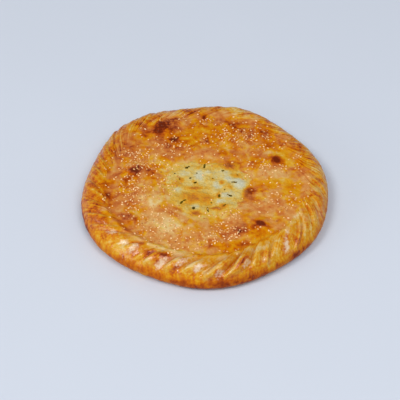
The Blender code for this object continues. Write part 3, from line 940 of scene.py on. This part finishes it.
def join_rings(mesh, outer, inner):
    """Quads between two rings of one length, or triangles where their lengths differ."""
    if len(outer) == len(inner):
        for k in range(len(outer)):
            beyond = (k + 1) % len(outer)
            mesh.faces.new((outer[k][1], outer[beyond][1], inner[beyond][1], inner[k][1]))
        return
    i = j = 0
    while i < len(outer) or j < len(inner):
        next_outer = outer[i + 1][0] if i + 1 < len(outer) else outer[0][0] + FULL_TURN
        next_inner = inner[j + 1][0] if j + 1 < len(inner) else inner[0][0] + FULL_TURN
        here, there = outer[i % len(outer)][1], inner[j % len(inner)][1]
        if j >= len(inner) or (i < len(outer) and next_outer <= next_inner):
            mesh.faces.new((here, outer[(i + 1) % len(outer)][1], there))
            i += 1
        else:
            mesh.faces.new((here, inner[(j + 1) % len(inner)][1], there))
            j += 1


def cap_ring(mesh, ring, point):
    middle = mesh.verts.new(point)
    for (_, here), (_, beyond) in zip(ring, ring[1:] + ring[:1]):
        mesh.faces.new((here, beyond, middle))


def join_all(mesh, rings, first_cap, last_cap):
    for outer, inner in zip(rings, rings[1:]):
        join_rings(mesh, outer, inner)
    cap_ring(mesh, rings[0], first_cap)
    cap_ring(mesh, rings[-1], last_cap)


def add_piece(name, mesh, finish):
    """A smooth piece of the bread made from a bmesh, which rides with the CAD body."""
    bmesh.ops.recalc_face_normals(mesh, faces=mesh.faces[:])
    data = bpy.data.meshes.new(name)
    mesh.to_mesh(data)
    mesh.free()
    data.shade_smooth()
    data.materials.append(finish)
    piece = bpy.data.objects.new(name, data)
    bpy.context.scene.collection.objects.link(piece)
    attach(piece, "root")
    return piece


def coordinates(piece):
    flat = np.empty(len(piece.data.vertices) * 3)
    piece.data.vertices.foreach_get("co", flat)
    return flat.reshape(-1, 3)


def set_attribute(piece, name, values):
    attribute = piece.data.attributes.new(name, "FLOAT", "POINT")
    attribute.data.foreach_set("value", np.asarray(values, dtype=np.float32))


def attribute_values(piece, name):
    values = np.empty(len(piece.data.vertices))
    piece.data.attributes[name].data.foreach_get("value", values)
    return values


def patch_field(points, patches):
    """How much a table of patches gives each point in plan: flat inside a patch, soft at its edge."""
    field = np.zeros(len(points))
    for x, y, half_width, half_height, amount, *turns in patches:
        dx, dy = points[:, 0] - x * MM, points[:, 1] - y * MM
        turn = math.radians(turns[0]) if turns else 0
        c, s = math.cos(turn), math.sin(turn)
        across = (dx * c + dy * s) / (half_width * MM)
        up = (-dx * s + dy * c) / (half_height * MM)
        field += amount / (1 + (across**2 + up**2) ** 2)
    return field


def vent_marks(points):
    """How far each point lies outside the opening, in VENT_UNITs. A low point counts as far."""
    far = 1.0
    distances = [vent_distance(Vector((x, y))) if z > 2 * FLOOR_THICKNESS else far for x, y, z in points]
    return np.array(distances) / VENT_UNIT


def fade(values, start, full):
    """0 before the start, 1 past the full value, and an even S between them."""
    shares = np.clip((values - start) / (full - start), 0, 1)
    return shares * shares * (3 - 2 * shares)


# Materials


def colour(*levels):
    """The linear colour of an sRGB one, which is given as red, green and blue from 0 to 255."""
    linear = [((v / 255 + 0.055) / 1.055) ** 2.4 if v > 10 else v / 255 / 12.92 for v in levels]
    return (*linear, 1)


class Finish:
    """A procedural material: helpers that add nodes and return their output sockets."""

    def __init__(self, name, **numbers):
        self.material = bpy.data.materials.new(name)
        self.material.use_nodes = True
        self.tree = self.material.node_tree
        self.shader = self.tree.nodes["Principled BSDF"]
        for socket, value in numbers.items():
            self.shader.inputs[socket.replace("_", " ")].default_value = value
        self.place = self.add("ShaderNodeTexCoord").outputs["Object"]

    def add(self, kind, **settings):
        node = self.tree.nodes.new(kind)
        for name, value in settings.items():
            setattr(node, name, value)
        return node

    def link(self, value, socket):
        """Feeds a socket from another socket, or sets it to a number or colour."""
        if isinstance(value, bpy.types.NodeSocket):
            self.tree.links.new(value, socket)
        else:
            socket.default_value = value

    def set(self, socket, value):
        self.link(value, self.shader.inputs[socket])

    def attribute(self, name):
        return self.add("ShaderNodeAttribute", attribute_name=name).outputs["Fac"]

    def calculate(self, operation, *values, clamp=False):
        node = self.add("ShaderNodeMath", operation=operation, use_clamp=clamp)
        for value, socket in zip(values, node.inputs):
            self.link(value, socket)
        return node.outputs[0]

    def total(self, *values):
        result = values[0]
        for value in values[1:]:
            result = self.calculate("ADD", result, value)
        return result

    def stretched(self, scale, shift=(0, 0, 0)):
        node = self.add("ShaderNodeMapping")
        self.link(self.place, node.inputs["Vector"])
        node.inputs["Scale"].default_value = scale
        node.inputs["Location"].default_value = shift
        return node.outputs[0]

    def noise(self, length, amount=1.0, detail=2.0, place=None, distortion=0.0):
        """Noise with features of that length in metres, from -amount to about amount."""
        node = self.add("ShaderNodeTexNoise")
        self.link(place or self.place, node.inputs["Vector"])
        node.inputs["Scale"].default_value = 1 / length
        node.inputs["Detail"].default_value = detail
        node.inputs["Distortion"].default_value = distortion
        centred = self.calculate("SUBTRACT", node.outputs["Fac"], 0.5)
        return self.calculate("MULTIPLY", centred, 2 * amount)

    def band(self, value, low, high):
        """0 up to low and 1 from high on, which may be the smaller."""
        node = self.add("ShaderNodeMapRange", interpolation_type="SMOOTHSTEP")
        for number, socket in zip((value, low, high), node.inputs):
            self.link(number, socket)
        return node.outputs[0]

    def ramp(self, value, stops):
        """A colour ramp through (place, sRGB colour) stops."""
        node = self.add("ShaderNodeValToRGB")
        elements = node.color_ramp.elements
        while len(elements) < len(stops):
            elements.new(0.5)
        for element, (position, levels) in zip(elements, stops):
            element.position = position
            element.color = colour(*levels)
        self.link(value, node.inputs[0])
        return node.outputs["Color"]

    def blend(self, share, first, second):
        node = self.add("ShaderNodeMix", data_type="RGBA")
        self.link(share, node.inputs["Factor"])
        self.link(first, node.inputs[MIX_FIRST])
        self.link(second, node.inputs[MIX_SECOND])
        return node.outputs[MIX_RESULT]

    def bump(self, height, distance):
        node = self.add("ShaderNodeBump")
        node.inputs["Distance"].default_value = distance
        self.link(height, node.inputs["Height"])
        self.set("Normal", node.outputs[0])


def cheese_colour(finish):
    """Melted white cheese with curds, gone gold and brown where it caught the heat."""
    browning = finish.total(
        finish.attribute("curd_browning"),
        finish.noise(10 * MM, 0.22, 2, distortion=0.8),
        finish.noise(3.4 * MM, 0.15, 2, distortion=0.5),
        finish.noise(1.5 * MM, 0.07, 1),
    )
    return finish.ramp(browning, CHEESE_HUES)


def crust_finish():
    """Egg-glazed dough: cream where it is thin, gold and tan in drifts, and brown where it blistered."""
    finish = Finish(
        "glazed_crust",
        IOR=1.45,
        Specular_IOR_Level=0.03,
        Coat_Roughness=0.16,
        Sheen_Weight=0.1,
        Sheen_Roughness=0.25,
    )
    mottles = finish.total(
        finish.noise(24 * MM, 0.34, 2, place=finish.stretched((1, 0.9, 1)), distortion=0.6),
        finish.noise(11 * MM, 0.42, 1, distortion=0.6),
        finish.noise(5 * MM, 0.16, 1, distortion=0.4),
        finish.noise(2 * MM, 0.1, 1),
    )
    mottled = finish.calculate("MULTIPLY", mottles, finish.attribute("mottling"))
    speckles = finish.calculate("MULTIPLY", finish.noise(2.8 * MM, 0.34, 2), finish.attribute("speckling"))
    browning = finish.total(finish.attribute("browning"), mottled, speckles)
    gold = finish.ramp(browning, [(position, golden) for position, golden, _ in CRUST_HUES])
    tan = finish.ramp(browning, [(position, tanned) for position, _, tanned in CRUST_HUES])
    drifts = finish.total(
        finish.attribute("tan"),
        finish.noise(18 * MM, 1.0, 1, place=finish.stretched((1, 0.9, 1), (4, 2, 7)), distortion=0.6),
        finish.noise(8 * MM, 0.4, 1, place=finish.stretched((1, 1.2, 1), (2, 9, 1)), distortion=0.4),
    )
    baked = finish.blend(finish.band(drifts, 0.25, 0.75), gold, tan)
    # Painted shade: the pleats' grooves and pits darkened towards red-brown.
    groove_shade = finish.calculate("MULTIPLY", finish.attribute("groove"), 0.66, clamp=True)
    groove_shaded = finish.blend(groove_shade, baked, colour(*GROOVE_SHADE_HUE))
    # Painted highlights: whitish patches on the rim's lobes, laid over the crust's colour.
    painted_highlight = finish.total(finish.attribute("painted_highlight"), finish.noise(3 * MM, 0.8, 2))
    highlighted = finish.blend(finish.band(painted_highlight, 0.2, 1.1), groove_shaded, colour(*PAINTED_HIGHLIGHT_HUE))
    thinness = finish.total(finish.attribute("vent"), finish.noise(13 * MM, 1.4, 3, distortion=0.8))
    bare = finish.band(thinness, 1.1, 0.1)
    finish.set("Base Color", finish.blend(bare, highlighted, cheese_colour(finish)))
    finish.set("Roughness", finish.calculate("ADD", finish.noise(5 * MM, 0.12), 0.42))
    finish.set("Coat Weight", finish.attribute("glaze"))
    finish.bump(finish.total(finish.noise(2.2 * MM, 0.7), finish.noise(0.9 * MM, 0.4)), 0.3 * MM)
    return finish.material


def cheese_finish():
    finish = Finish("melted_cheese", IOR=1.45, Specular_IOR_Level=0.1, Coat_Weight=0.4, Coat_Roughness=0.2)
    finish.set("Base Color", cheese_colour(finish))
    finish.set("Roughness", finish.calculate("ADD", finish.noise(5 * MM, 0.12), 0.42))
    finish.bump(finish.total(finish.noise(2.4 * MM, 1.0), finish.noise(1.0 * MM, 0.4)), 0.5 * MM)
    return finish.material


def seed_finish():
    finish = Finish("sesame", Roughness=0.42, IOR=1.45, Specular_IOR_Level=0.3)
    shade = finish.total(finish.attribute("toasting"), finish.noise(1.2 * MM, 0.2))
    finish.set("Base Color", finish.ramp(shade, SEED_HUES))
    finish.bump(finish.noise(0.5 * MM, 0.5), 0.1 * MM)
    return finish.material


def herb_finish():
    finish = Finish("herb_leaf", Roughness=0.6, IOR=1.45, Specular_IOR_Level=0.05)
    shade = finish.total(finish.attribute("dryness"), finish.noise(1.5 * MM, 0.3))
    finish.set("Base Color", finish.ramp(shade, HERB_HUES))
    finish.bump(finish.noise(0.8 * MM, 0.6), 0.15 * MM)
    return finish.material


def floor_finish():
    finish = Finish("pale_table", Roughness=0.7, IOR=1.4)
    first, second = (colour(*hue) for hue in TABLE_HUES)
    finish.set("Base Color", finish.blend(finish.noise(0.25, 0.5), first, second))
    return finish.material


# The bread's pieces


def make_crust():
    """The dough case, closed round its hollow."""
    mesh = bmesh.new()
    marks = {"groove": groove_shade_mark, "ridge": ridge_mark, "crease": crease_mark}
    for name in marks:
        mesh.verts.layers.float.new(name)
    rings = [add_ring(mesh, HIDDEN_COLUMNS, foot_point, share) for share in BASE_SHARES]
    rings += [
        add_ring(mesh, ROUND_COLUMNS, rim_point, share, **marks)
        for share in [1.0] + even_shares(RIM_ROWS, 1.0, 0.0)
    ]
    rings += [add_ring(mesh, ROUND_COLUMNS, crust_point, share) for share in even_shares(CRUST_ROWS)]
    rings += [add_ring(mesh, ROUND_COLUMNS, hollow_roof, 0.0)]
    rings += [add_ring(mesh, HIDDEN_COLUMNS, hollow_roof, share) for share in even_shares(HOLLOW_ROWS)]
    rings += [add_ring(mesh, HIDDEN_COLUMNS, hollow_side, share) for share in HOLLOW_SIDE_SHARES]
    rings += [add_ring(mesh, HIDDEN_COLUMNS, hollow_floor, 0.0)]
    join_all(mesh, rings, (0, 0, 0), (0, 0, FLOOR_THICKNESS))
    crust = add_piece("baked_crust", mesh, crust_finish())
    mark_crust(crust)
    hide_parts("dough_case")
    return crust


def mark_crust(crust):
    """Says at each point of the crust how browned, tan, glazed and speckled it is, for its material."""
    points = coordinates(crust)
    angles = np.arctan2(points[:, 1], points[:, 0])
    insets = np.array([outline_inset(Vector((x, y))) for x, y, _ in points])
    top = fade(points[:, 2], *TOP_HEIGHTS)
    wall = 1 - top
    upper = fade(points[:, 2], *UPPER_HEIGHTS)
    rim = fade(np.hypot(points[:, 0], points[:, 1]), *RIM_RADII)
    pleated = fade(insets, *PLEATED_INSETS)
    front = (1 + np.cos(angles - STRONGEST_PLEATS_AT)) / 2
    # The front of the rim's inner slope, turned from the key light, gets painted warm shade.
    shaded_inner_edge = front * fade(insets, *INNER_EDGE_STARTS) * fade(insets, *INNER_EDGE_ENDS)
    dark_side = rim * np.clip(np.cos(angles - DARK_SIDE_AT), 0, 1) ** 2

    browning = BROWNING + DARK_SIDE_BROWNING * dark_side
    # Paler along the rim's inner edge and the pleats' crests: paler dough, with a painted highlight along
    # the lit inner lip.
    browning += RIDGE_BROWNING * attribute_values(crust, "ridge")
    browning += CREASE_BROWNING * attribute_values(crust, "crease")
    browning += wall * (WALL_BROWNING + patch_field(points, SIDE_PATCHES))
    browning += top * (RIM_BROWNING * rim + INNER_EDGE_SHADE_BROWNING * shaded_inner_edge)
    browning += top * patch_field(points, PATCHES)
    tan = TAN + WALL_TAN * wall + PLEATED_TAN * pleated * front + patch_field(points, TAN_PATCHES)
    glaze = mix(CRUST_GLAZE, RIM_GLAZE, fade(insets, *GLAZED_INSETS)) * mix(WALL_GLAZE, 1.0, upper)
    mottling = mix(WALL_MOTTLING, 1.0, upper) + RIM_MOTTLING * rim
    speckling = pleated * mix(WALL_SPECKLING, 1.0, upper) + patch_field(points, SPECKLED_PATCHES)

    set_attribute(crust, "browning", browning)
    set_attribute(crust, "tan", tan)
    set_attribute(crust, "glaze", glaze)
    set_attribute(crust, "mottling", mottling)
    set_attribute(crust, "speckling", speckling)
    # Where the rim carries painted highlights.
    set_attribute(crust, "painted_highlight", upper * patch_field(points, PAINTED_HIGHLIGHT_PATCHES))
    set_attribute(crust, "vent", vent_marks(points))
    set_attribute(crust, "curd_browning", THIN_CRUST_BROWNING + patch_field(points, CHEESE_PATCHES))


def make_filling():
    mesh = bmesh.new()
    rings = [add_ring(mesh, CURD_COLUMNS, filling_point, share) for share in even_shares(CURD_ROWS)]
    rings += [add_ring(mesh, HIDDEN_COLUMNS, filling_base, 0.0)]
    top = filling_point(0.0, 0.0)
    join_all(mesh, rings, top, (VENT_CENTRE.x, VENT_CENTRE.y, FLOOR_THICKNESS))
    filling = add_piece("cheese", mesh, cheese_finish())
    browning = CURD_BROWNING + patch_field(coordinates(filling), CHEESE_PATCHES)
    set_attribute(filling, "curd_browning", browning)
    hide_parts("cheese_filling")
    return filling


def surface_tree(*pieces):
    """A search tree over pieces' faces, for laying small things on them."""
    points, faces = [], []
    for piece in pieces:
        start = len(points)
        points += [vertex.co for vertex in piece.data.vertices]
        faces += [[start + k for k in polygon.vertices] for polygon in piece.data.polygons]
    return BVHTree.FromPolygons(points, faces)


def lying_at(tree, x, y, turn):
    """The place on the surface above (x, y): X lies along it at that turn, Z out of it."""
    place, normal, _, _ = tree.ray_cast(Vector((x, y, 2 * CROWN_HEIGHT)), Vector((0, 0, -1)))
    along = Vector((math.cos(turn), math.sin(turn), 0))
    along = (along - normal * along.dot(normal)).normalized()
    return Matrix.Translation(place) @ Matrix((along, normal.cross(along), normal)).transposed().to_4x4()


def add_morsel(mesh, place, rows, sides, section, tip, mark):
    """A seed or leaf at a place: rings of the points section(along, turn), and a tip at each end of X."""
    name, value = mark
    layer = mesh.verts.layers.float[name]
    rings = []
    for row in range(rows):
        along = (row + 0.5) / rows
        ring = []
        for k in range(sides):
            vertex = mesh.verts.new(place @ section(along, FULL_TURN * k / sides))
            vertex[layer] = value
            ring.append((k, vertex))
        rings.append(ring)
    reach, height = tip
    join_all(mesh, rings, place @ Vector((-reach, 0, height)), place @ Vector((reach, 0, height)))


def add_seed(mesh, place, toasting):
    """A sesame seed: a flat drop, blunt at one end and pointed at the other."""

    def section(along, turn):
        girth = math.sin(math.pi * along**SEED_BLUNTNESS) ** SEED_FULLNESS / 2
        return Vector((
            SEED_LENGTH * (along - 0.5),
            SEED_WIDTH * girth * math.cos(turn),
            SEED_THICKNESS * girth * math.sin(turn),
        ))

    tip = (SEED_LENGTH / 2, 0)
    add_morsel(mesh, place, SEED_RINGS, SEED_SIDES, section, tip, ("toasting", toasting))


def patch_offset(x, y, middle_x, middle_y, half_width, half_height):
    """0 in the middle of a patch, 1 at its edge and more outside it."""
    return ((x / MM - middle_x) / half_width) ** 2 + ((y / MM - middle_y) / half_height) ** 2


def seed_density(x, y):
    density = SEED_BACKGROUND
    for *patch, most in SEED_PATCHES:
        density = max(density, most * math.exp(-patch_offset(x, y, *patch)))
    if any(patch_offset(x, y, *gap) < 1 for gap in SEED_GAPS):
        density = 0
    if vent_distance(Vector((x, y))) < 0:
        density *= SEED_ON_CHEESE
    return density


def make_seeds(tree):
    """Seeds thrown at random, thickest in the patches, none on top of another."""
    draw = random.Random(SEED_SHUFFLE)
    mesh = bmesh.new()
    mesh.verts.layers.float.new("toasting")
    laid = []
    thickest = max(most for *_, most in SEED_PATCHES)
    while len(laid) < SEEDS:
        spot = around(SEED_AREA_RADIUS * math.sqrt(draw.random()), draw.uniform(0, FULL_TURN))
        if draw.uniform(0, thickest) > seed_density(spot.x, spot.y):
            continue
        if any((spot - other).length < SEED_SPACING for other in laid):
            continue
        laid.append(spot)
        place = lying_at(tree, spot.x, spot.y, draw.uniform(0, FULL_TURN))
        tilt = Matrix.Rotation(draw.gauss(0, SEED_TILT), 4, "Y")
        size = Matrix.Scale(draw.uniform(*SEED_SIZES), 4)
        rise = Matrix.Translation((0, 0, SEED_THICKNESS * SEED_RISE))
        add_seed(mesh, place @ rise @ tilt @ size, draw.random() ** TOASTING_SKEW)
    return add_piece("sesame_seeds", mesh, seed_finish())


def add_herb(mesh, place, length, width, dryness):
    """A chopped leaf: a thin curled lozenge."""

    def section(along, turn):
        spread = width * mix(HERB_TIP_WIDTH, 1.0, math.sin(math.pi * along)) / 2
        curl = HERB_CURL * length * (along - 0.5) ** 2
        return Vector((
            length * (along - 0.5),
            spread * math.cos(turn),
            HERB_THICKNESS * math.sin(turn) / 2 + curl,
        ))

    tip = (length / 2, HERB_TIP_CURL * length)
    add_morsel(mesh, place, HERB_RINGS, HERB_SIDES, section, tip, ("dryness", dryness))


def make_herbs(tree):
    draw = random.Random(HERB_SHUFFLE)
    mesh = bmesh.new()
    mesh.verts.layers.float.new("dryness")
    for x, y, length, width, turn in HERB_FLECKS:
        place = lying_at(tree, x * MM, y * MM, math.radians(turn))
        add_herb(mesh, place, length * MM, width * MM, draw.uniform(0, HERB_DRYNESS))
    return add_piece("herb_flecks", mesh, herb_finish())


# The studio


def make_floor():
    mesh = bmesh.new()
    bmesh.ops.create_grid(mesh, x_segments=TABLE_CELLS, y_segments=TABLE_CELLS, size=TABLE_SIZE)
    data = bpy.data.meshes.new("table")
    mesh.to_mesh(data)
    mesh.free()
    data.materials.append(floor_finish())
    floor = bpy.data.objects.new("table", data)
    bpy.context.scene.collection.objects.link(floor)


def add_softbox(name, place, aim, size, power, tint):
    data = bpy.data.lights.new(name, "AREA")
    data.shape = "DISK"
    data.size = size
    data.energy = power
    data.color = tint
    lamp = bpy.data.objects.new(name, data)
    lamp.location = place
    lamp.rotation_euler = (Vector(aim) - Vector(place)).to_track_quat("-Z", "Y").to_euler()
    bpy.context.scene.collection.objects.link(lamp)


def make_lights():
    for softbox in SOFTBOXES:
        add_softbox(*softbox)
    world = bpy.data.worlds.new("studio")
    bpy.context.scene.world = world
    world.use_nodes = True
    sky = world.node_tree.nodes["Background"]
    sky.inputs["Color"].default_value = SKY_TINT
    sky.inputs["Strength"].default_value = SKY_STRENGTH


def make_camera():
    data = bpy.data.cameras.new("camera")
    data.sensor_width = SENSOR_MM
    data.lens = SENSOR_MM * CAMERA_DISTANCE / (METRES_PER_PIXEL * FRAME_PIXELS)
    camera = bpy.data.objects.new("camera", data)
    away = Vector((0, -math.cos(CAMERA_ELEVATION), math.sin(CAMERA_ELEVATION)))
    camera.location = VIEW_TARGET + CAMERA_DISTANCE * away
    camera.rotation_euler = (-away).to_track_quat("-Z", "Y").to_euler()
    bpy.context.scene.collection.objects.link(camera)
    bpy.context.scene.camera = camera


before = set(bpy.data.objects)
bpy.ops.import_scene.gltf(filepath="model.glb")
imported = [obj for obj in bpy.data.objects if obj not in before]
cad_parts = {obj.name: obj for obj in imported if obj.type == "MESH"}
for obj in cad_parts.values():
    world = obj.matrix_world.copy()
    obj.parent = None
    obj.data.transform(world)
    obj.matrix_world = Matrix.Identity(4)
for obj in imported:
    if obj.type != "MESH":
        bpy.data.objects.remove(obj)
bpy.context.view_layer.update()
bread_crust = make_crust()
bread_filling = make_filling()
lying_tree = surface_tree(bread_crust, bread_filling)
make_seeds(lying_tree)
make_herbs(lying_tree)
make_floor()
make_lights()
make_camera()
bpy.context.scene.view_settings.view_transform = "Standard"
